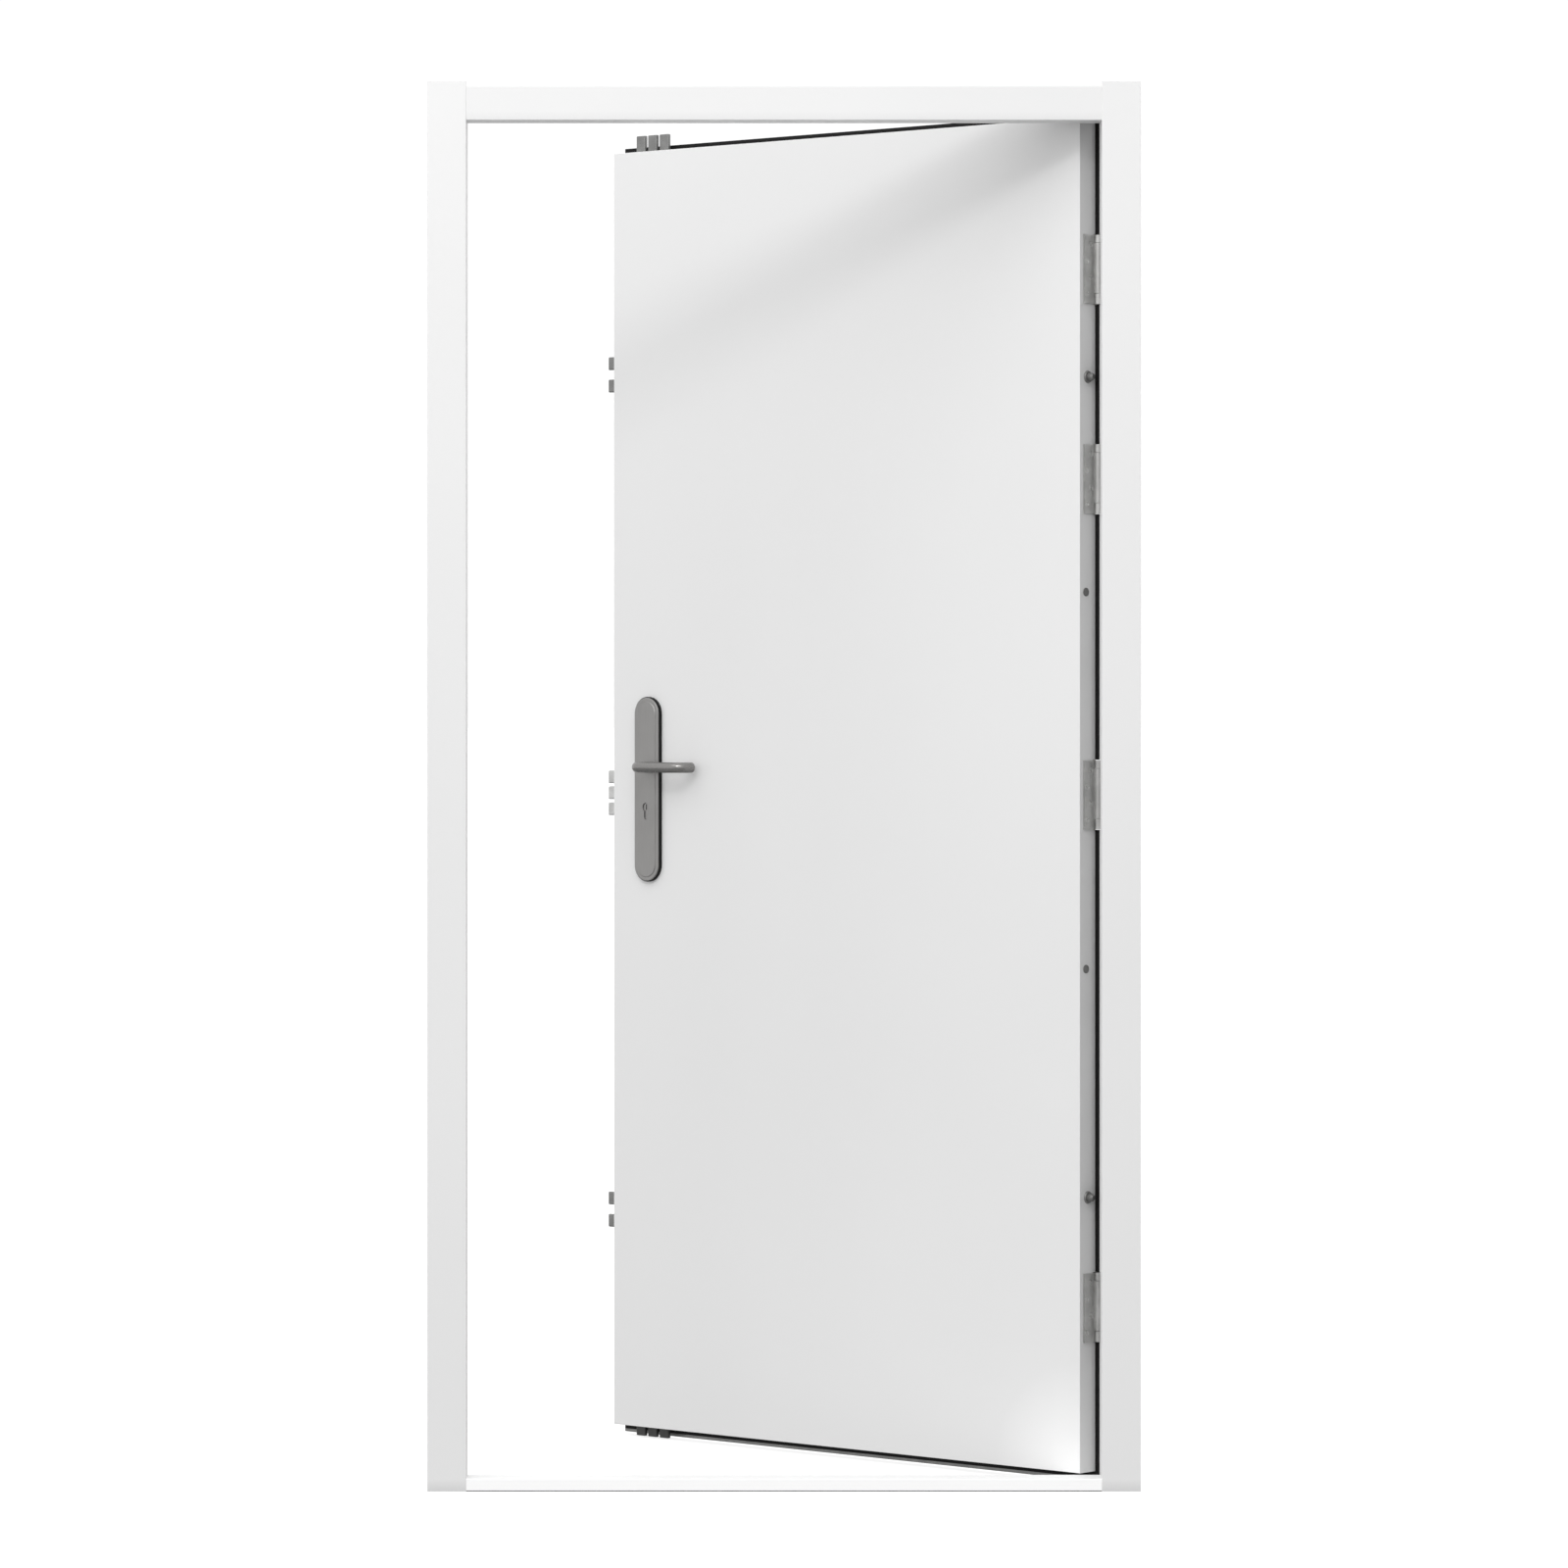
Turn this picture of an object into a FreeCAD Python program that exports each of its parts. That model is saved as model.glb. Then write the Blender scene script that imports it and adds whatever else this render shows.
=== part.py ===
import FreeCAD, Part
import os
import math

from FreeCAD import Vector as V

# Steel security doorset: a folded steel frame with a lapped steel leaf that
# swings away from the front, four butt hinges on the right, a multi-point
# lock with its bolts thrown, and a lever handle on a long plate each side.
#
# Millimetres. X runs across the door, Y from the front to the back, Z up.
# The origin is on the underside of the threshold, mid width and mid depth.
# Everything on the leaf is drawn with the door shut and then turned open.

# ---------------------------------------------------------------- sizes
FRAME_W = 1025.0          # over the jambs
FRAME_H = 2025.0          # over the head
FACE = 56.0               # width of the frame's front face
FRAME_D = 84.0            # front to back
LIP_D = 48.0              # depth of the front lip (the reveal)
SHEET = 2.0               # frame sheet thickness
SET_BACK = 1.0            # head and threshold sit this far behind the jambs
HEAD_LIP_Z = 1969.3       # underside of the head's lip
SILL_LIP_Z = 18.2         # top of the threshold's lip
BED_T = 1.5               # rubber bed under the threshold
BEND_R = 1.2              # bend radius of the folded jambs
HEAD_R = 8.0              # bend radius of the head's top edge
EDGE_R = 0.8              # edge radius of the leaf's outer tray

GAP = 6.0                 # working gap round the leaf
X_LOCK = -464.5           # leaf body edge on the lock side, shut
X_HINGE = 453.9           # leaf body edge on the hinge side, shut
Z_BOT = 17.9              # leaf body bottom
Z_TOP = 1979.5            # leaf body top
SKIN = 1.5                # leaf sheet thickness
BODY_T = 35.5             # depth of the leaf's outer tray
SEAL_T = 1.5              # seal thickness on the lap
LEAF_T = 45.0             # whole leaf
LAP = 9.0                 # how far the inner tray laps past the body
LAP_HINGE = 7.0           # the same on the hinge side
LAP_TOP = 10.2            # the same at the top
LAP_BOTTOM = 15.0         # the same at the bottom
SEAL_BOTTOM = 10.5        # how far the seal covers it there, the rest is the drip strip
SWING = 41.23             # how far the leaf stands open

PIVOT_Q = 3.0             # hinge pin outside the leaf body's edge
PIVOT_T = 40.5            # hinge pin behind the leaf's outer face
KNUCKLE_R = 9.0
HINGE_H = 100.0
HINGE_Z = (256.0, 999.0, 1457.0, 1761.0)
PLATE_T = 2.5             # hinge plate thickness
DOG_Z = (416.0, 1604.8)
PLUG_Z = (747.0, 1293.0)

BOLT_T = 18.5             # bolt line behind the outer face
BOLT_W = 20.0             # side bolts are flat bars with rounded edges
ROD_W = 18.6              # and so are the shoot bolts, a little narrower
BOLT_TH = 6.6
BOLT_EDGE = 2.0
BOLT_THROW = 26.0
BOLT_IN = 38.0            # length inside the leaf when thrown
SIDE_BOLTS = {"upper": (1656.9, 1622.2), "centre": (1017.0, 992.4, 967.5), "lower": (364.6, 330.0)}
ROD_U = (42.0, 66.0, 90.0)    # shoot bolts, from the lock edge
TOP_THROW = 26.0
BOT_THROW = 16.0

HANDLE_U = 74.6           # spindle, from the lock edge
LEVER_Z = 1033.0
CYL_Z = 971.5
KEY_R = 6.4               # keyhole insert: round head, half tail, tail centre below
KEY_TAIL = 3.2
KEY_DROP = 15.4
PLATE_C = 999.0           # centre of the handle plate
PLATE_W = 51.6
PLATE_H = 283.6

Y0 = -FRAME_D / 2.0       # front of the frame
Y1 = FRAME_D / 2.0        # back of the frame
Y_STOP = Y0 + LIP_D       # the stop face behind the lip
Y_LEAF = Y_STOP + GAP     # outer face of the leaf, shut
XF = FRAME_W / 2.0
XR = XF - FACE            # reveal
X_REB_L = X_LOCK - GAP    # rebate wall, lock side
X_REB_H = X_HINGE + GAP   # rebate wall, hinge side
Z_REB_T = Z_TOP + GAP     # rebate ceiling
Z_REB_B = Z_BOT - GAP     # rebate floor
XP = X_HINGE + PIVOT_Q    # hinge pin
YP = Y_LEAF + PIVOT_T

os.makedirs("parts", exist_ok=True)
made = {}


def box(x0, x1, y0, y1, z0, z1):
    return Part.makeBox(x1 - x0, y1 - y0, z1 - z0, V(x0, y0, z0))


def cyl(r, h, base, axis):
    return Part.makeCylinder(r, h, V(*base), V(*axis))


def fuse(shapes):
    out = shapes[0]
    if len(shapes) > 1:
        out = out.multiFuse(shapes[1:])
    return out.removeSplitter()


def poly(points):
    pts = [V(*p) for p in points]
    return Part.Face(Part.makePolygon(pts + [pts[0]]))


def hollow(points, thick, along, radius_at=(), bend=BEND_R):
    """A folded hollow section: the outline, less the outline moved in by the sheet."""
    def long_edge(shape, point, reach):
        for e in shape.Edges:
            if len(e.Vertexes) != 2:
                continue
            d = e.Vertexes[1].Point.sub(e.Vertexes[0].Point)
            if abs(d.Length - V(*along).Length) < 1e-3 and min(v.Point.distanceToPoint(V(*point)) for v in e.Vertexes) < reach:
                return e

    bends = bend if isinstance(bend, tuple) else (bend,) * len(radius_at)
    outer = poly(points)
    solid = outer.extrude(V(*along))
    inner = outer.makeOffset2D(-thick)
    if inner.ShapeType != "Face":
        inner = inner.Faces[0]
    core = inner.extrude(V(*along))
    for point, r in zip(radius_at, bends):
        solid = solid.makeFillet(r, [long_edge(solid, point, 0.01)])
        if r > thick:
            core = core.makeFillet(r - thick, [long_edge(core, point, thick * 1.5)])
    return solid.cut(core)


def swing(shape):
    out = shape.copy()
    out.rotate(V(XP, YP, 0), V(0, 0, 1), -SWING)
    return out


def save(name, shape, on_leaf=False):
    if on_leaf:
        shape = swing(shape)
    solids = shape.Solids
    for s in solids:
        assert s.isValid(), name
    if len(solids) == 1:
        shape = solids[0]
    else:
        shape = Part.makeCompound(solids)
    made[name] = shape
    shape.exportStep("parts/%s.step" % name)


# ---------------------------------------------------------------- frame
jamb_l = hollow(
    [(-XR, Y0, 0), (-XF, Y0, 0), (-XF, Y1, 0), (X_REB_L, Y1, 0), (X_REB_L, Y_STOP, 0), (-XR, Y_STOP, 0)],
    SHEET, (0, 0, FRAME_H), [(-XR, Y0, 0), (-XF, Y0, 0), (-XF, Y1, 0), (X_REB_L, Y1, 0)],
)
jamb_r = hollow(
    [(XR, Y0, 0), (XF, Y0, 0), (XF, Y1, 0), (X_REB_H, Y1, 0), (X_REB_H, Y_STOP, 0), (XR, Y_STOP, 0)],
    SHEET, (0, 0, FRAME_H), [(XR, Y0, 0), (XF, Y0, 0), (XF, Y1, 0), (X_REB_H, Y1, 0)],
)
YH = Y0 + SET_BACK
span = (X_REB_H - X_REB_L, 0, 0)
head = hollow(
    [(X_REB_L, YH, HEAD_LIP_Z), (X_REB_L, YH, FRAME_H), (X_REB_L, Y1, FRAME_H), (X_REB_L, Y1, Z_REB_T),
     (X_REB_L, Y_STOP, Z_REB_T), (X_REB_L, Y_STOP, HEAD_LIP_Z)],
    SHEET, span,
    [(X_REB_L, YH, HEAD_LIP_Z), (X_REB_L, YH, FRAME_H)], (BEND_R, HEAD_R),
)
sill = hollow(
    [(X_REB_L, YH, BED_T), (X_REB_L, YH, SILL_LIP_Z), (X_REB_L, Y_STOP, SILL_LIP_Z), (X_REB_L, Y_STOP, Z_REB_B),
     (X_REB_L, Y1, Z_REB_B), (X_REB_L, Y1, BED_T)],
    SHEET, span, [(X_REB_L, YH, SILL_LIP_Z), (X_REB_L, Y1, Z_REB_B)],
)
for z0, z1, which in ((HEAD_LIP_Z - 1, FRAME_H + 1, "head"), (-1, SILL_LIP_Z + 1, "sill")):
    ends = [box(X_REB_L - 1, -XR, Y0 - 1, Y_STOP, z0, z1), box(XR, X_REB_H + 1, Y0 - 1, Y_STOP, z0, z1)]
    for e in ends:
        if which == "head":
            head = head.cut(e)
        else:
            sill = sill.cut(e)

# caps that close the jambs' ends
for z0 in (0.0, FRAME_H - SHEET):
    for sx, name in ((-1, "l"), (1, "r")):
        xr, xreb = sx * XR, (X_REB_L if sx < 0 else X_REB_H)
        pts = [(xr - 0 * sx, Y0, z0), (sx * XF, Y0, z0), (sx * XF, Y1, z0), (xreb, Y1, z0), (xreb, Y_STOP, z0), (xr, Y_STOP, z0)]
        cap = poly(pts).makeOffset2D(-SHEET)
        if cap.ShapeType != "Face":
            cap = cap.Faces[0]
        cap = cap.extrude(V(0, 0, SHEET))
        if sx < 0:
            jamb_l = jamb_l.fuse(cap).removeSplitter()
        else:
            jamb_r = jamb_r.fuse(cap).removeSplitter()

# keeps: flush plates let into the rebate, with a hole for each bolt
y_bolt = Y_LEAF + BOLT_T
CLEAR = 2.2               # in front of and behind each bolt in its keep
CLEAR_W = 1.2             # and past its edges


def bar(w, t, h, centre, along, wide, edge=BOLT_EDGE):
    """A bar of section w by t with rounded edges. It runs h from centre along one axis, with its width on another."""
    b = Part.makeBox(w, t, h, V(-w / 2.0, -t / 2.0, 0))
    b = b.makeFillet(edge, [e for e in b.Edges if abs(e.Vertexes[0].Point.z - e.Vertexes[1].Point.z) > 1e-6])
    zx, wx = V(*along), V(*wide)
    tx = zx.cross(wx)
    m = FreeCAD.Matrix(wx.x, tx.x, zx.x, centre[0], wx.y, tx.y, zx.y, centre[1], wx.z, tx.z, zx.z, centre[2], 0, 0, 0, 1)
    b.transformShape(m, True)
    return b


keep_side = []
for name, zs in SIDE_BOLTS.items():
    zc = sum(zs) / len(zs)
    half = (max(zs) - min(zs)) / 2.0 + 32.0
    slab = box(X_REB_L - SHEET, X_REB_L, y_bolt - 16, y_bolt + 16, zc - half, zc + half)
    jamb_l = jamb_l.cut(slab)
    for z in zs:
        slab = slab.cut(bar(BOLT_W + 2 * CLEAR_W, BOLT_TH + 2 * CLEAR, 6, (X_REB_L - 4, y_bolt, z), (1, 0, 0), (0, 0, 1)))
    for z in (zc - half + 9, zc + half - 9):
        slab = slab.cut(Part.makeCone(2.2, 4.4, SHEET, V(X_REB_L - SHEET, y_bolt, z), V(1, 0, 0)))
    keep_side.append(slab)
x_rods = [X_LOCK + u for u in ROD_U]
xk0, xk1 = x_rods[0] - 26, x_rods[-1] + 26
keep_head = box(xk0, xk1, y_bolt - 15, y_bolt + 15, Z_REB_T, Z_REB_T + SHEET)
head = head.cut(keep_head)
keep_sill = box(xk0, xk1, y_bolt - 15, y_bolt + 15, Z_REB_B - SHEET, Z_REB_B)
sill = sill.cut(keep_sill)
for x in x_rods:
    keep_head = keep_head.cut(bar(ROD_W + 2 * CLEAR, BOLT_TH + 2 * CLEAR, 8, (x, y_bolt, Z_REB_T - 3), (0, 0, 1), (1, 0, 0)))
    keep_sill = keep_sill.cut(bar(ROD_W + 2 * CLEAR, BOLT_TH + 2 * CLEAR, 8, (x, y_bolt, Z_REB_B - 5), (0, 0, 1), (1, 0, 0)))
    sill = sill.cut(bar(ROD_W + 2 * CLEAR, BOLT_TH + 2 * CLEAR, 6, (x, y_bolt, -1), (0, 0, 1), (1, 0, 0)))
for x in (xk0 + 8, xk1 - 8):
    keep_head = keep_head.cut(Part.makeCone(4.4, 2.2, SHEET, V(x, y_bolt, Z_REB_T), V(0, 0, 1)))
    keep_sill = keep_sill.cut(Part.makeCone(2.2, 4.4, SHEET, V(x, y_bolt, Z_REB_B - SHEET), V(0, 0, 1)))

# holes in the hinge jamb for the dog bolts
for z in DOG_Z:
    jamb_r = jamb_r.cut(cyl(12.0, 8, (X_REB_H - 4, y_bolt, z), (1, 0, 0)))

# fixing holes through both jambs, rebate wall and outer wall
FIX_Z = (190.0, 690.0, 1190.0, 1850.0)
FIX_R = 5.5
y_fix = Y_STOP + 18.5
for z in FIX_Z:
    jamb_l = jamb_l.cut(cyl(FIX_R, 120, (-XF - 10, y_fix, z), (1, 0, 0)))
    jamb_r = jamb_r.cut(cyl(FIX_R, 120, (XF + 10, y_fix, z), (-1, 0, 0)))

save("jamb_lock_side", jamb_l)
save("jamb_hinge_side", jamb_r)
save("frame_head", head)
save("threshold", sill)
save("threshold_bed", box(-XR, XR, YH + 1.5, Y1 - 1.5, 0, BED_T))
save("keep_plates_side", Part.makeCompound(keep_side))
save("keep_plate_head", keep_head)
save("keep_plate_threshold", keep_sill)

# ---------------------------------------------------------------- hinges
GAP_K = 0.6
LOW_K, HIGH_K = 15.5, 11.5
for i, zc in enumerate(HINGE_Z):
    z0, z1 = zc - HINGE_H / 2, zc + HINGE_H / 2
    a, b = z0 + LOW_K, z1 - HIGH_K
    # leaf side: plate on the leaf's edge with the long middle knuckle
    plate = box(X_HINGE, X_HINGE + PLATE_T, Y_LEAF + 8.0, Y_LEAF + 30.5, z0, z1)
    strap = box(X_HINGE, X_HINGE + PLATE_T, Y_LEAF + 30.0, Y_LEAF + 36.0, a + GAP_K / 2, b - GAP_K / 2)
    mid = cyl(KNUCKLE_R, b - a - GAP_K, (XP, YP, a + GAP_K / 2), (0, 0, 1))
    lp = fuse([plate, strap, mid])
    lp = lp.cut(cyl(4.05, HINGE_H, (XP, YP, z0), (0, 0, 1)))
    screws = []
    for k, (dz, dy) in enumerate(((-36, 6), (-12, 15), (12, 6), (36, 15))):
        lp = lp.cut(Part.makeCone(2.6, 4.8, PLATE_T, V(X_HINGE, Y_LEAF + 8 + dy - 0.5, zc + dz), V(1, 0, 0)))
        head_s = Part.makeCone(2.45, 4.45, PLATE_T - 0.2, V(X_HINGE, Y_LEAF + 8 + dy - 0.5, zc + dz), V(1, 0, 0))
        head_s = head_s.cut(box(X_HINGE + 1.4, X_HINGE + 4, Y_LEAF + 8 + dy - 1.1, Y_LEAF + 8 + dy + 0.1, zc + dz - 3.2, zc + dz + 3.2))
        head_s = head_s.cut(box(X_HINGE + 1.4, X_HINGE + 4, Y_LEAF + 8 + dy - 3.7, Y_LEAF + 8 + dy + 2.7, zc + dz - 0.6, zc + dz + 0.6))
        screws.append(head_s)
    # frame side: plate on the back of the jamb with the two short knuckles
    fp = [box(X_REB_H + 4.0, X_REB_H + 44, Y1, Y1 + PLATE_T, z0, z1)]
    for k0, k1 in ((z0, a - GAP_K / 2), (b + GAP_K / 2, z1)):
        fp.append(box(XP, X_REB_H + 5, Y1, Y1 + PLATE_T, k0, k1))
        fp.append(cyl(KNUCKLE_R, k1 - k0, (XP, YP, k0), (0, 0, 1)))
    fp = fuse(fp).cut(cyl(4.05, HINGE_H, (XP, YP, z0), (0, 0, 1)))
    fscrews = []
    for dz, dx in ((-36, 14), (-12, 32), (12, 14), (36, 32)):
        fp = fp.cut(Part.makeCone(2.6, 4.8, PLATE_T, V(X_REB_H + dx, Y1, zc + dz), V(0, 1, 0)))
        s = Part.makeCone(2.45, 4.45, PLATE_T - 0.2, V(X_REB_H + dx, Y1, zc + dz), V(0, 1, 0))
        s = s.cut(box(X_REB_H + dx - 0.6, X_REB_H + dx + 0.6, Y1 + 1.4, Y1 + 4, zc + dz - 3.2, zc + dz + 3.2))
        s = s.cut(box(X_REB_H + dx - 3.2, X_REB_H + dx + 3.2, Y1 + 1.4, Y1 + 4, zc + dz - 0.6, zc + dz + 0.6))
        fscrews.append(s)
    pin = cyl(4.0, HINGE_H - 0.8, (XP, YP, z0 + 0.4), (0, 0, 1))
    if i == 0:
        leaf_plates, leaf_screws, frame_plates, frame_screws, pins = [], [], [], [], []
    leaf_plates.append(lp)
    leaf_screws += screws
    frame_plates.append(fp)
    frame_screws += fscrews
    pins.append(pin)
save("hinge_leaf_plates", Part.makeCompound(leaf_plates), True)
save("hinge_leaf_screws", Part.makeCompound(leaf_screws), True)
save("hinge_frame_plates", Part.makeCompound(frame_plates))
save("hinge_frame_screws", Part.makeCompound(frame_screws))
save("hinge_pins", Part.makeCompound(pins))

# ---------------------------------------------------------------- leaf
YL = Y_LEAF
lap_x0, lap_x1 = X_LOCK - LAP, X_HINGE + LAP_HINGE
lap_z0, lap_z1 = Z_BOT - LAP_BOTTOM, Z_TOP + LAP_TOP

tray = box(X_LOCK, X_HINGE, YL, YL + BODY_T + SEAL_T, Z_BOT, Z_TOP)
edges = [e for e in tray.Edges if abs(e.Vertexes[0].Point.y - YL) < 1e-6 and abs(e.Vertexes[1].Point.y - YL) < 1e-6]
tray = tray.makeFillet(EDGE_R, edges)
tray = tray.cut(box(X_LOCK + SKIN, X_HINGE - SKIN, YL + SKIN, YL + 60, Z_BOT + SKIN, Z_TOP - SKIN))

pan = box(lap_x0, lap_x1, YL + BODY_T + SEAL_T, YL + LEAF_T, lap_z0, lap_z1)
edges = [e for e in pan.Edges if abs(e.Vertexes[0].Point.y - (YL + LEAF_T)) < 1e-6 and abs(e.Vertexes[1].Point.y - (YL + LEAF_T)) < 1e-6]
pan = pan.makeFillet(1.6, edges)
pan = pan.cut(box(X_LOCK + SKIN, X_HINGE - SKIN, YL + 1, YL + LEAF_T - SKIN, Z_BOT + SKIN, Z_TOP - SKIN))
core = box(X_LOCK + SKIN, X_HINGE - SKIN, YL + SKIN, YL + LEAF_T - SKIN, Z_BOT + SKIN, Z_TOP - SKIN)

seal = box(lap_x0, lap_x1, YL + BODY_T, YL + BODY_T + SEAL_T, Z_BOT - SEAL_BOTTOM, lap_z1)
seal = seal.cut(box(X_LOCK, X_HINGE, YL, YL + 60, Z_BOT, Z_TOP))

# steel drip strip on the lap, under the seal
drip = box(lap_x0, lap_x1, YL + BODY_T, YL + BODY_T + SEAL_T, lap_z0, Z_BOT - SEAL_BOTTOM)

# pockets round the knuckles
pockets = []
for zc in HINGE_Z:
    z0, z1 = zc - HINGE_H / 2 - 0.8, zc + HINGE_H / 2 + 0.8
    pockets.append(cyl(KNUCKLE_R + 2.0, z1 - z0, (XP, YP, z0), (0, 0, 1)))
    pockets.append(box(X_HINGE - 0.01, X_HINGE + 20, YL + BODY_T - 2, YL + 60, z0, z1))
for p in pockets:
    tray, pan, core, seal = tray.cut(p), pan.cut(p), core.cut(p), seal.cut(p)

# bolt holes in the leaf's edges
for zs in SIDE_BOLTS.values():
    for z in zs:
        c = bar(BOLT_W + 0.8, BOLT_TH + 0.8, BOLT_IN + BOLT_THROW + 4, (X_LOCK - 2, y_bolt, z), (1, 0, 0), (0, 0, 1))
        tray, core = tray.cut(c), core.cut(c)
for x in x_rods:
    c = bar(ROD_W + 0.8, BOLT_TH + 0.8, 68, (x, y_bolt, Z_TOP - 66), (0, 0, 1), (1, 0, 0))
    tray, core = tray.cut(c), core.cut(c)
    c = bar(ROD_W + 0.8, BOLT_TH + 0.8, 60, (x, y_bolt, Z_BOT - 2), (0, 0, 1), (1, 0, 0))
    tray, core = tray.cut(c), core.cut(c)

# spindle and cylinder openings
xh = X_LOCK + HANDLE_U
spindle_hole = cyl(11.0, 70, (xh, YL - 5, LEVER_Z), (0, 1, 0))
lock_pocket = box(xh - 7.5, xh + 7.5, YL - 5, YL + 60, CYL_Z - 20, CYL_Z + 7.5)
tray, pan, core = [s.cut(spindle_hole).cut(lock_pocket) for s in (tray, pan, core)]
save("leaf_outer_skin", tray, True)
save("leaf_inner_skin", pan, True)
save("leaf_core", core, True)
save("leaf_seal", seal, True)
save("drip_strip", drip, True)

# faceplates of the lock on the leaf's edges
plates = []
for zs in SIDE_BOLTS.values():
    zc, half = sum(zs) / len(zs), (max(zs) - min(zs)) / 2.0 + 34.0
    p = box(X_LOCK - 1.2, X_LOCK, y_bolt - 13, y_bolt + 13, zc - half, zc + half)
    for z in zs:
        p = p.cut(bar(BOLT_W + 0.8, BOLT_TH + 0.8, 6, (X_LOCK - 3, y_bolt, z), (1, 0, 0), (0, 0, 1)))
    for z in (zc - half + 9, zc + half - 9):
        p = p.cut(cyl(2.6, 6, (X_LOCK - 3, y_bolt, z), (1, 0, 0)))
    plates.append(p)
save("lock_faceplates", Part.makeCompound(plates), True)

# dog bolts and plugs on the hinge edge
dogs, plugs = [], []
for z in DOG_Z:
    d = Part.makeCone(9.2, 8.0, 2.5, V(X_HINGE, y_bolt, z), V(1, 0, 0))
    d = d.fuse(cyl(5.5, 6.0, (X_HINGE + 2.5, y_bolt, z), (1, 0, 0)))
    d = d.fuse(Part.makeCone(5.5, 3.4, 2.8, V(X_HINGE + 8.5, y_bolt, z), V(1, 0, 0)))
    dogs.append(d.removeSplitter())
for z in PLUG_Z:
    p = cyl(6.2, 0.9, (X_HINGE, YL + 14.0, z), (1, 0, 0))
    p = p.cut(cyl(4.4, 0.6, (X_HINGE + 0.5, YL + 14.0, z), (1, 0, 0)))
    plugs.append(p)
save("dog_bolts", Part.makeCompound(dogs), True)
save("edge_plugs", Part.makeCompound(plugs), True)


# ---------------------------------------------------------------- bolts
def bolt(width, centre, along, wide, length):
    """A thrown bolt, drawn from its tip inwards, with a small bevel at the tip."""
    b = bar(width, BOLT_TH, length, centre, along, wide)
    tip = [f for f in b.Faces if f.CenterOfMass.distanceToPoint(V(*centre)) < 1e-3][0]
    return b.makeChamfer(0.9, tip.Edges)


for name, zs in SIDE_BOLTS.items():
    tips = [bolt(BOLT_W, (X_LOCK - BOLT_THROW, y_bolt, z), (1, 0, 0), (0, 0, 1), BOLT_IN + BOLT_THROW) for z in zs]
    save("%s_side_bolts" % name, Part.makeCompound(tips), True)
save("top_bolts", Part.makeCompound([bolt(ROD_W, (x, y_bolt, Z_TOP + TOP_THROW), (0, 0, -1), (1, 0, 0), BOLT_IN + TOP_THROW) for x in x_rods]), True)
save("bottom_bolts", Part.makeCompound([bolt(ROD_W, (x, y_bolt, Z_BOT - BOT_THROW), (0, 0, 1), (1, 0, 0), BOLT_IN + BOT_THROW) for x in x_rods]), True)


# ---------------------------------------------------------------- handles
def stadium(w, h, y, z, x):
    """A long plate outline with round ends, in the XZ plane."""
    r = w / 2.0
    top, bot = z + h / 2.0 - r, z - h / 2.0 + r
    e = [
        Part.LineSegment(V(x - r, y, bot), V(x - r, y, top)).toShape(),
        Part.Arc(V(x - r, y, top), V(x, y, top + r), V(x + r, y, top)).toShape(),
        Part.LineSegment(V(x + r, y, top), V(x + r, y, bot)).toShape(),
        Part.Arc(V(x + r, y, bot), V(x, y, bot - r), V(x - r, y, bot)).toShape(),
    ]
    return Part.Wire(e)


def keyhole(x, z, y0, y1, grow=0.0):
    """A round head with a narrow tail below it, along Y."""
    a = cyl(KEY_R + grow, y1 - y0, (x, y0, z), (0, 1, 0))
    b = box(x - KEY_TAIL - grow, x + KEY_TAIL + grow, y0, y1, z - KEY_DROP, z)
    c = cyl(KEY_TAIL + grow, y1 - y0, (x, y0, z - KEY_DROP), (0, 1, 0))
    return a.fuse(b).fuse(c).removeSplitter()


BASE_T = 5.4
COVER_T = 2.2
COVER_IN = 1.2           # the cover stands in from the base's edge
FIELD_T = 1.2            # raised field on the cover
FIELD_IN = 6.8           # and its distance from the base's edge
RISE = 36.0              # lever centre line from the leaf's face
NECK_R = 12.5            # bend from the neck into the arm
TIP_R = 16.0             # bend from the arm back to the leaf
TIP_GAP = 10.0           # the lever's end stops this far from the leaf
LEVER_R = 8.0
LEVER_L = 95.0


def lever_path(yf, s):
    """Neck out from the plate, along the leaf towards the hinges, and back to the leaf."""
    y_out = yf + s * RISE
    ra, rb = NECK_R, TIP_R
    xe = xh + LEVER_L
    y_end = yf + s * TIP_GAP
    y_start = yf + s * (BASE_T + COVER_T + FIELD_T + 0.15)
    k = 1 - math.sqrt(0.5)
    e = [
        Part.LineSegment(V(xh, y_start, LEVER_Z), V(xh, y_out - s * ra, LEVER_Z)).toShape(),
        Part.Arc(V(xh, y_out - s * ra, LEVER_Z), V(xh + ra * k, y_out - s * ra * k, LEVER_Z), V(xh + ra, y_out, LEVER_Z)).toShape(),
        Part.LineSegment(V(xh + ra, y_out, LEVER_Z), V(xe - rb, y_out, LEVER_Z)).toShape(),
        Part.Arc(V(xe - rb, y_out, LEVER_Z), V(xe - rb * k, y_out - s * rb * k, LEVER_Z), V(xe, y_out - s * rb, LEVER_Z)).toShape(),
        Part.LineSegment(V(xe, y_out - s * rb, LEVER_Z), V(xe, y_end, LEVER_Z)).toShape(),
    ]
    return Part.Wire(e), V(xh, y_start, LEVER_Z)


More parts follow.
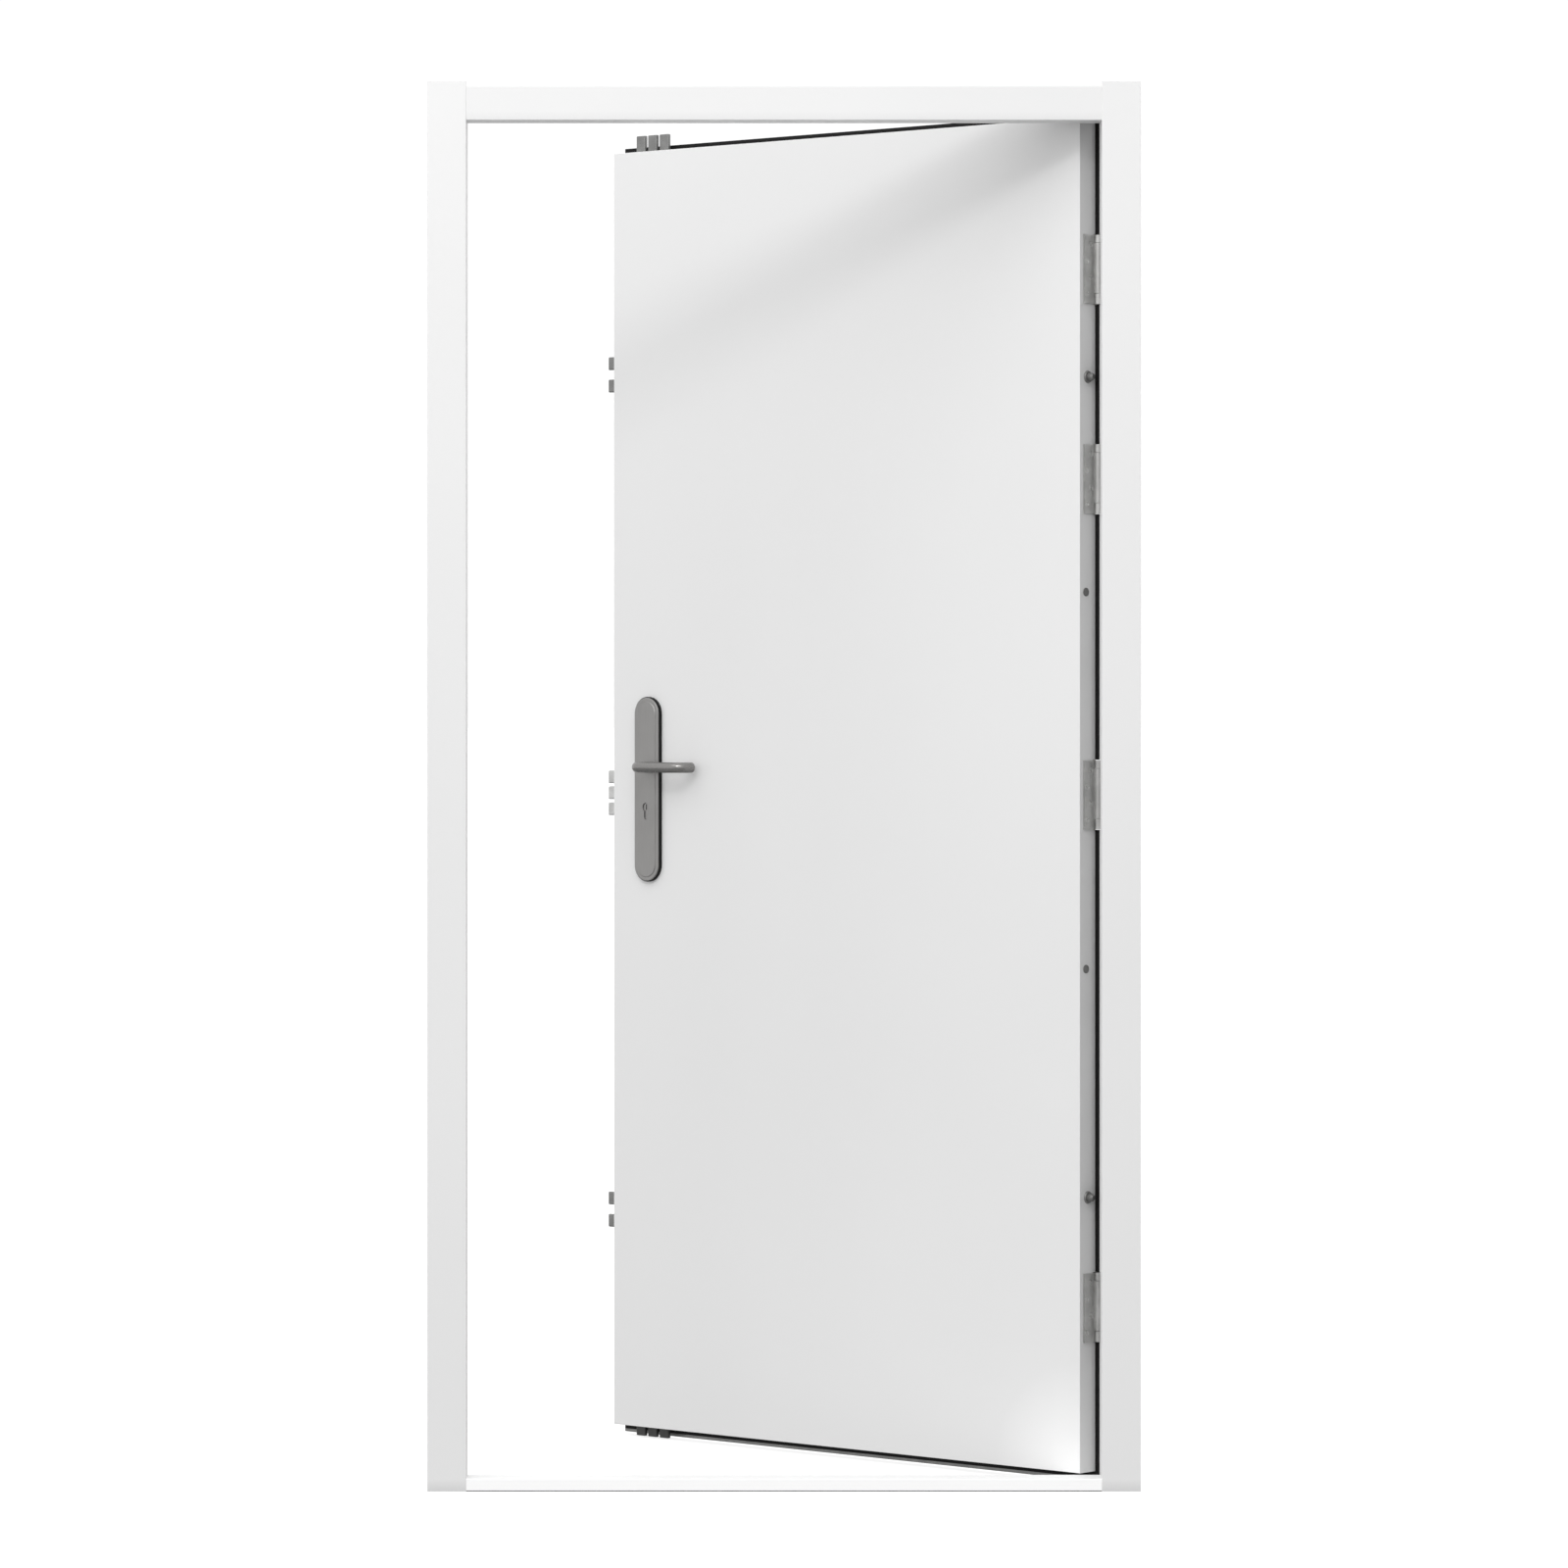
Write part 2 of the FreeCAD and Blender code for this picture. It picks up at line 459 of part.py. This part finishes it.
PROUD = BASE_T + COVER_T + FIELD_T
for side, yf, s in (("outer", YL, -1), ("inner", YL + LEAF_T, 1)):
    base = Part.Face(stadium(PLATE_W, PLATE_H, yf, PLATE_C, xh)).extrude(V(0, s * BASE_T, 0))
    cover = Part.Face(stadium(PLATE_W - 2 * COVER_IN, PLATE_H - 2 * COVER_IN, yf + s * BASE_T, PLATE_C, xh)).extrude(V(0, s * COVER_T, 0))
    y_top = yf + s * (BASE_T + COVER_T)
    es = [e for e in cover.Edges if all(abs(v.Point.y - y_top) < 1e-6 for v in e.Vertexes)]
    cover = cover.makeFillet(1.2, es)
    field = Part.Face(stadium(PLATE_W - 2 * FIELD_IN, PLATE_H - 2 * FIELD_IN, y_top - s * 0.5, PLATE_C, xh)).extrude(V(0, s * (FIELD_T + 0.5), 0))
    y_f = y_top + s * FIELD_T
    es = [e for e in field.Edges if all(abs(v.Point.y - y_f) < 1e-6 for v in e.Vertexes)]
    field = field.makeChamfer(1.0, es)
    cover = cover.fuse(field).removeSplitter()
    hole = keyhole(xh, CYL_Z, min(yf, yf + s * 20) - 5, max(yf, yf + s * 20) + 5, 0.25)
    base = base.cut(hole).cut(cyl(11.0, 40, (xh, yf - 20, LEVER_Z), (0, 1, 0)))
    cover = cover.cut(hole).cut(cyl(6.5, 40, (xh, yf - 20, LEVER_Z), (0, 1, 0)))
    save("%s_plate_base" % side, base, True)
    save("%s_handle_plate" % side, cover, True)
    wire, start = lever_path(yf, s)
    circ = Part.Wire([Part.Circle(start, V(0, 1, 0), LEVER_R).toShape()])
    arm = wire.makePipeShell([circ], True, True)
    hub = cyl(6.0, 6.0, (xh, start.y, LEVER_Z), (0, -s, 0))
    arm = arm.fuse(hub).removeSplitter()
    arm = arm.cut(box(xh - 4, xh + 4, YL - 12, YL + LEAF_T + 12, LEVER_Z - 4, LEVER_Z + 4))
    save("%s_lever" % side, arm, True)

spindle = box(xh - 4, xh + 4, YL - 12, YL + LEAF_T + 12, LEVER_Z - 4, LEVER_Z + 4)
save("spindle", spindle, True)

SUNK = 1.8               # the insert's face below the plate's field
barrel = keyhole(xh, CYL_Z, YL - PROUD + SUNK, YL + LEAF_T + PROUD - SUNK)
for yk, s in ((YL - PROUD + SUNK, 1), (YL + LEAF_T + PROUD - SUNK, -1)):
    a, b = sorted((yk - s, yk + s * 3.0))
    barrel = barrel.cut(box(xh - 0.9, xh + 0.9, a, b, CYL_Z - 4.2, CYL_Z + 4.2))
save("lock_cylinder", barrel, True)

if __name__ == "__main__":
    for n in sorted(made):
        bb = made[n].BoundBox
        print("%-24s solids %2d  x %7.1f %7.1f  y %7.1f %7.1f  z %7.1f %7.1f" % (
            n, len(made[n].Solids), bb.XMin, bb.XMax, bb.YMin, bb.YMax, bb.ZMin, bb.ZMax))
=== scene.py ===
import math

import bpy
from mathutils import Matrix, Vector

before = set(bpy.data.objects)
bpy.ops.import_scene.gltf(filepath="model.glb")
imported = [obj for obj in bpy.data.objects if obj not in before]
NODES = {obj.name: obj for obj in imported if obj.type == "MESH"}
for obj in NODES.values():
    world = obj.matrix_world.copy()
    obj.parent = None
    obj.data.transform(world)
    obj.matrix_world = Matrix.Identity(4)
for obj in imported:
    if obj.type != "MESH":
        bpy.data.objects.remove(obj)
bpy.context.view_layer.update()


# ------------------------------------------------------------ materials
def new_mat(name, colour, rough, metal=0.0):
    m = bpy.data.materials.new(name)
    m.use_nodes = True
    nt = m.node_tree
    b = nt.nodes["Principled BSDF"]
    b.inputs["Base Color"].default_value = (*colour, 1)
    b.inputs["Roughness"].default_value = rough
    b.inputs["Metallic"].default_value = metal
    return m, nt, b


def link(nt, a, b):
    nt.links.new(a, b)


def noise(nt, scale, detail=2.0, rough=0.5, stretch=None):
    tc = nt.nodes.new("ShaderNodeTexCoord")
    n = nt.nodes.new("ShaderNodeTexNoise")
    n.inputs["Scale"].default_value = scale
    n.inputs["Detail"].default_value = detail
    n.inputs["Roughness"].default_value = rough
    if stretch:
        mp = nt.nodes.new("ShaderNodeMapping")
        mp.inputs["Scale"].default_value = stretch
        link(nt, tc.outputs["Object"], mp.inputs["Vector"])
        link(nt, mp.outputs["Vector"], n.inputs["Vector"])
    else:
        link(nt, tc.outputs["Object"], n.inputs["Vector"])
    return n.outputs["Fac"]


def span(nt, value, lo, hi, a=0.35, b=0.65):
    r = nt.nodes.new("ShaderNodeMapRange")
    r.inputs["From Min"].default_value = a
    r.inputs["From Max"].default_value = b
    r.inputs["To Min"].default_value = lo
    r.inputs["To Max"].default_value = hi
    link(nt, value, r.inputs["Value"])
    return r.outputs["Result"]


def tint(nt, b, value, c0, c1, a=0.35, e=0.65):
    r = nt.nodes.new("ShaderNodeValToRGB")
    r.color_ramp.elements[0].position = a
    r.color_ramp.elements[1].position = e
    r.color_ramp.elements[0].color = (*c0, 1)
    r.color_ramp.elements[1].color = (*c1, 1)
    link(nt, value, r.inputs["Fac"])
    link(nt, r.outputs["Color"], b.inputs["Base Color"])


def bump(nt, b, value, strength, distance, under=None):
    n = nt.nodes.new("ShaderNodeBump")
    n.inputs["Strength"].default_value = strength
    n.inputs["Distance"].default_value = distance
    link(nt, value, n.inputs["Height"])
    if under is not None:
        link(nt, under, n.inputs["Normal"])
    link(nt, n.outputs["Normal"], b.inputs["Normal"])
    return n.outputs["Normal"]


def shade(nt, b, value, lo, hi, a, e):
    """Scales the base colour from lo at a to hi at e."""
    grey = span(nt, value, lo, hi, a, e)
    scale = nt.nodes.new("ShaderNodeVectorMath")
    scale.operation = "SCALE"
    link(nt, b.inputs["Base Color"].links[0].from_socket, scale.inputs[0])
    link(nt, grey, scale.inputs["Scale"])
    link(nt, scale.outputs["Vector"], b.inputs["Base Color"])


def facing(nt, side):
    """How far a face looks along side, in the node's own axes."""
    tc = nt.nodes.new("ShaderNodeTexCoord")
    dot = nt.nodes.new("ShaderNodeVectorMath")
    dot.operation = "DOT_PRODUCT"
    dot.inputs[1].default_value = side
    link(nt, tc.outputs["Normal"], dot.inputs[0])
    return dot.outputs["Value"]


def height(nt):
    tc = nt.nodes.new("ShaderNodeTexCoord")
    xyz = nt.nodes.new("ShaderNodeSeparateXYZ")
    link(nt, tc.outputs["Object"], xyz.inputs["Vector"])
    return xyz.outputs["Z"]


def distance(nt, point):
    tc = nt.nodes.new("ShaderNodeTexCoord")
    d = nt.nodes.new("ShaderNodeVectorMath")
    d.operation = "DISTANCE"
    d.inputs[1].default_value = point
    link(nt, tc.outputs["Object"], d.inputs[0])
    return d.outputs["Value"]


def powder(name, colour, side=None, painted_side_shade=1.0, painted_shade_band=None, pale=None):
    """Smooth powder coat: a faint orange peel, a fine grain and a slight drift in tone.
    Faces that look along side, in the node's own axes, get a darker tone: painted shade.
    So does the strip below a height, given by two heights and the lower tone: painted shade.
    Round a point the coat can be painted paler, given by the point, the reach and the tone: a painted glow."""
    m, nt, b = new_mat(name, colour, 0.42)
    b.inputs["Specular IOR Level"].default_value = 0.35
    peel = noise(nt, 420.0, 2.0, 0.5)
    wave = noise(nt, 34.0, 1.0, 0.4)
    n1 = bump(nt, b, wave, 0.05, 0.0006)
    bump(nt, b, peel, 0.10, 0.0002, n1)
    drift = noise(nt, 2.2, 2.0, 0.5)
    lo = tuple(v * 0.985 for v in colour)
    tint(nt, b, drift, lo, colour)
    # painted shade: faces that look along side are drawn darker
    if side is not None:
        shade(nt, b, facing(nt, side), 1.0, painted_side_shade, 0.6, 0.95)
    # painted shade: the strip between the two heights is drawn darker
    if painted_shade_band is not None:
        shade(nt, b, height(nt), painted_shade_band[2], 1.0, painted_shade_band[0], painted_shade_band[1])
    # painted light: round the point the coat is drawn paler, a painted glow
    if pale is not None:
        shade(nt, b, distance(nt, pale[0]), pale[2], 1.0, 0.0, pale[1])
    r = span(nt, noise(nt, 90.0, 2.0), 0.38, 0.47)
    link(nt, r, b.inputs["Roughness"])
    return m


def zinc(name, colour, rough=0.34, side=None, painted_shade_tone=1.0):
    """Plated steel: soft cloudy tone, fine machining grain. Faces that look away from side get a darker tone:
    painted shade.
    """
    m, nt, b = new_mat(name, colour, rough, 0.9)
    cloud = noise(nt, 60.0, 4.0, 0.6)
    tint(nt, b, cloud, tuple(v * 0.86 for v in colour), tuple(min(1, v * 1.06) for v in colour))
    # painted shade: faces that look away from side are drawn darker
    if side is not None:
        shade(nt, b, facing(nt, side), painted_shade_tone, 1.0, 0.90, 0.97)
    r = span(nt, noise(nt, 240.0, 3.0), rough - 0.07, rough + 0.10)
    link(nt, r, b.inputs["Roughness"])
    bump(nt, b, noise(nt, 900.0, 3.0, 0.6), 0.12, 0.0001)
    return m


def satin(name, colour, rough, stretch, under=1.0):
    """Satin brushed steel: fine streaks along one way. Faces that look down get a darker tone: painted shade."""
    m, nt, b = new_mat(name, colour, rough, 0.85)
    streak = noise(nt, 900.0, 3.0, 0.6, stretch)
    cloud = noise(nt, 14.0, 2.0, 0.5)
    tint(nt, b, cloud, tuple(v * 0.95 for v in colour), tuple(min(1, v * 1.03) for v in colour))
    # painted shade: faces that look down are drawn darker
    if under < 1.0:
        shade(nt, b, facing(nt, (0.0, 0.0, -1.0)), 1.0, under, 0.15, 0.85)
    r = span(nt, streak, rough - 0.06, rough + 0.08)
    link(nt, r, b.inputs["Roughness"])
    bump(nt, b, streak, 0.10, 0.00008)
    return m


def soft_black(name, rough, grain):
    m, nt, b = new_mat(name, (0.008, 0.008, 0.008), rough)
    b.inputs["Specular IOR Level"].default_value = 0.15
    g = noise(nt, grain, 3.0, 0.6)
    tint(nt, b, g, (0.006, 0.006, 0.006), (0.012, 0.012, 0.012))
    link(nt, span(nt, g, rough - 0.05, rough + 0.08), b.inputs["Roughness"])
    bump(nt, b, g, 0.25, 0.0002)
    return m


def board(name):
    m, nt, b = new_mat(name, (0.5, 0.45, 0.34), 0.85)
    g = noise(nt, 160.0, 4.0, 0.6)
    tint(nt, b, g, (0.42, 0.37, 0.27), (0.56, 0.51, 0.40))
    bump(nt, b, g, 0.4, 0.0006)
    return m


# painted shade: the jambs are drawn darker over their lowest 18 mm, at the floor
frame_white = powder("frame_powder_coat", (0.775, 0.775, 0.775), painted_shade_band=(0.0, 0.018, 0.84))
# painted shade: the head is drawn darker towards its lower edge
head_white = powder("head_powder_coat", (0.765, 0.765, 0.765), painted_shade_band=(1.9693, 1.982, 0.93))
# painted shade: faces of the threshold that look up are drawn darker
sill_white = powder("threshold_powder_coat", (1.0, 1.0, 1.0), (0.0, 0.0, 1.0), 0.86)
leaf_white = powder("leaf_powder_coat", (0.79, 0.79, 0.79))
# painted shade: the skin's faces that look along the hinge edge are drawn darker; painted light: its lower hinge
# corner is drawn paler, a painted glow
skin_white = powder("leaf_skin_powder_coat", (0.768, 0.768, 0.768), (0.752, -0.659, 0.0), 0.79,
                    pale=((0.428, 0.024, 0.018), 0.16, 1.20))
steel = zinc("zinc_plate", (0.42, 0.42, 0.41))
# painted shade: hinge faces that do not look along the leaf's hinge edge are drawn darker
hinge_steel = zinc("hinge_zinc", (0.58, 0.58, 0.57), 0.38, (0.752, -0.659, 0.0), 0.86)
screw_steel = zinc("screw_zinc", (0.68, 0.68, 0.67), 0.30)
drip_steel = zinc("drip_zinc", (0.26, 0.26, 0.257), 0.45)
steel_dark = zinc("zinc_plate_dark", (0.24, 0.24, 0.235), 0.60)
bolt_centre = zinc("bolt_steel_centre", (0.58, 0.58, 0.575), 0.30)
bolt_outer = zinc("bolt_steel_outer", (0.25, 0.25, 0.247), 0.32)
rod_dark = zinc("rod_steel_dark", (0.08, 0.08, 0.079), 0.42)
plate_satin = satin("satin_plate", (0.31, 0.305, 0.30), 0.40, (1.0, 1.0, 0.04))
# painted shade: the levers' faces that look down are drawn darker
lever_satin = satin("satin_lever", (0.25, 0.245, 0.24), 0.28, (0.06, 0.06, 1.0), 0.62)
rubber = soft_black("seal_rubber", 0.72, 300.0)
plastic = soft_black("plate_backing", 0.45, 500.0)
core = board("core_board")

USE = {
    "jamb_lock_side": frame_white, "jamb_hinge_side": frame_white, "frame_head": head_white, "threshold": sill_white,
    "leaf_outer_skin": skin_white, "leaf_inner_skin": leaf_white, "leaf_core": core, "leaf_seal": rubber, "threshold_bed": rubber,
    "keep_plates_side": steel, "keep_plate_head": steel, "keep_plate_threshold": steel, "lock_faceplates": steel,
    "hinge_frame_plates": hinge_steel, "hinge_frame_screws": screw_steel, "hinge_leaf_plates": hinge_steel,
    "hinge_leaf_screws": screw_steel, "hinge_pins": steel, "edge_plugs": steel_dark, "dog_bolts": steel_dark,
    "centre_side_bolts": bolt_centre, "upper_side_bolts": bolt_outer, "lower_side_bolts": bolt_outer,
    "top_bolts": bolt_outer, "bottom_bolts": rod_dark, "spindle": steel, "drip_strip": drip_steel,
    "outer_handle_plate": plate_satin, "inner_handle_plate": plate_satin, "outer_lever": lever_satin,
    "inner_lever": lever_satin, "lock_cylinder": plate_satin,
    "outer_plate_base": plastic, "inner_plate_base": plastic,
}
for name, node in NODES.items():
    node.data.materials.clear()
    node.data.materials.append(USE.get(name, steel))
    for poly in node.data.polygons:
        poly.material_index = 0

# ------------------------------------------------------------ floor
mesh = bpy.data.meshes.new("floor")
R = 200.0
mesh.from_pydata([(-R, -R, 0), (R, -R, 0), (R, R, 0), (-R, R, 0)], [], [(0, 1, 2, 3)])
floor = bpy.data.objects.new("floor", mesh)
bpy.context.scene.collection.objects.link(floor)
fm = bpy.data.materials.new("pale_floor")
fm.use_nodes = True
fb = fm.node_tree.nodes["Principled BSDF"]
fb.inputs["Base Color"].default_value = (0.5, 0.5, 0.5, 1)
fb.inputs["Roughness"].default_value = 0.9
fb.inputs["Specular IOR Level"].default_value = 0.0
fb.inputs["Emission Color"].default_value = (1, 1, 1, 1)
fb.inputs["Emission Strength"].default_value = 0.75
mesh.materials.append(fm)
floor.visible_diffuse = False       # so that the pale floor does not wash out the underside of things
floor.visible_glossy = False

# ------------------------------------------------------------ light
world = bpy.data.worlds.new("studio")
bpy.context.scene.world = world
world.use_nodes = True
wt = world.node_tree
bg = wt.nodes["Background"]
wc = wt.nodes.new("ShaderNodeTexCoord")
wx = wt.nodes.new("ShaderNodeSeparateXYZ")
wt.links.new(wc.outputs["Generated"], wx.inputs["Vector"])


def fade(axis, a, b, lo, hi):
    """A soft step in the studio's brightness along one axis."""
    r = wt.nodes.new("ShaderNodeMapRange")
    r.interpolation_type = "SMOOTHSTEP"
    r.inputs["From Min"].default_value = a
    r.inputs["From Max"].default_value = b
    r.inputs["To Min"].default_value = lo
    r.inputs["To Max"].default_value = hi
    wt.links.new(wx.outputs[axis], r.inputs["Value"])
    return r.outputs["Result"]


def times(a, b):
    m = wt.nodes.new("ShaderNodeMath")
    m.operation = "MULTIPLY"
    wt.links.new(a, m.inputs[0])
    wt.links.new(b, m.inputs[1])
    return m.outputs[0]


def toward(way, a, b, lo, hi):
    """The same, along any direction."""
    d = wt.nodes.new("ShaderNodeVectorMath")
    d.operation = "DOT_PRODUCT"
    d.inputs[1].default_value = way
    wt.links.new(wc.outputs["Generated"], d.inputs[0])
    r = wt.nodes.new("ShaderNodeMapRange")
    r.interpolation_type = "SMOOTHSTEP"
    r.inputs["From Min"].default_value = a
    r.inputs["From Max"].default_value = b
    r.inputs["To Min"].default_value = lo
    r.inputs["To Max"].default_value = hi
    wt.links.new(d.outputs["Value"], r.inputs["Value"])
    return r.outputs["Result"]


# white all round, dimmer straight in front of the door and under it
level = times(fade("Z", -0.25, -0.01, 0.52, 1.06), toward((0.0, -1.0, 0.0), 0.55, 0.95, 1.0, 0.72))
wt.links.new(level, bg.inputs["Strength"])
bg.inputs["Color"].default_value = (1, 1, 1, 1)


def area(name, where, at, size, power, size_y=None):
    d = bpy.data.lights.new(name, "AREA")
    d.energy = power
    d.shape = "RECTANGLE"
    d.size = size
    d.size_y = size_y or size
    o = bpy.data.objects.new(name, d)
    bpy.context.scene.collection.objects.link(o)
    o.location = where
    o.rotation_mode = "QUATERNION"
    o.rotation_quaternion = (Vector(at) - Vector(where)).to_track_quat("-Z", "Y")
    return o


area("high_softbox", (-1.1, -2.0, 4.54), (-0.2, 0.4, 1.3), 5.0, 46, 2.4)
area("front_softbox", (-1.6, -7.0, 4.4), (0.0, 0.3, 1.1), 9.0, 118, 6.0)
area("lever_strip", (-0.95, -3.6, 4.05), (-0.19, 0.4, 1.03), 1.1, 30, 0.7)

# ------------------------------------------------------------ camera
cam_data = bpy.data.cameras.new("camera")
cam = bpy.data.objects.new("camera", cam_data)
bpy.context.scene.collection.objects.link(cam)
bpy.context.scene.camera = cam
F_PX, SIDE = 6301.0, 1600.0
cam_data.sensor_fit = "HORIZONTAL"
cam_data.sensor_width = 36.0
cam_data.lens = F_PX * 36.0 / SIDE
cam_data.shift_x = 0.0
cam_data.shift_y = -(SIDE / 2 - 707.0) / SIDE
cam_data.clip_start, cam_data.clip_end = 0.1, 200.0
cam_data.dof.use_dof = False
cam.location = (0.0, -0.042 - 8.866, 1.147)
cam.rotation_euler = (math.radians(90), 0, 0)

bpy.context.scene.view_settings.view_transform = "Standard"
bpy.context.scene.view_settings.look = "None"
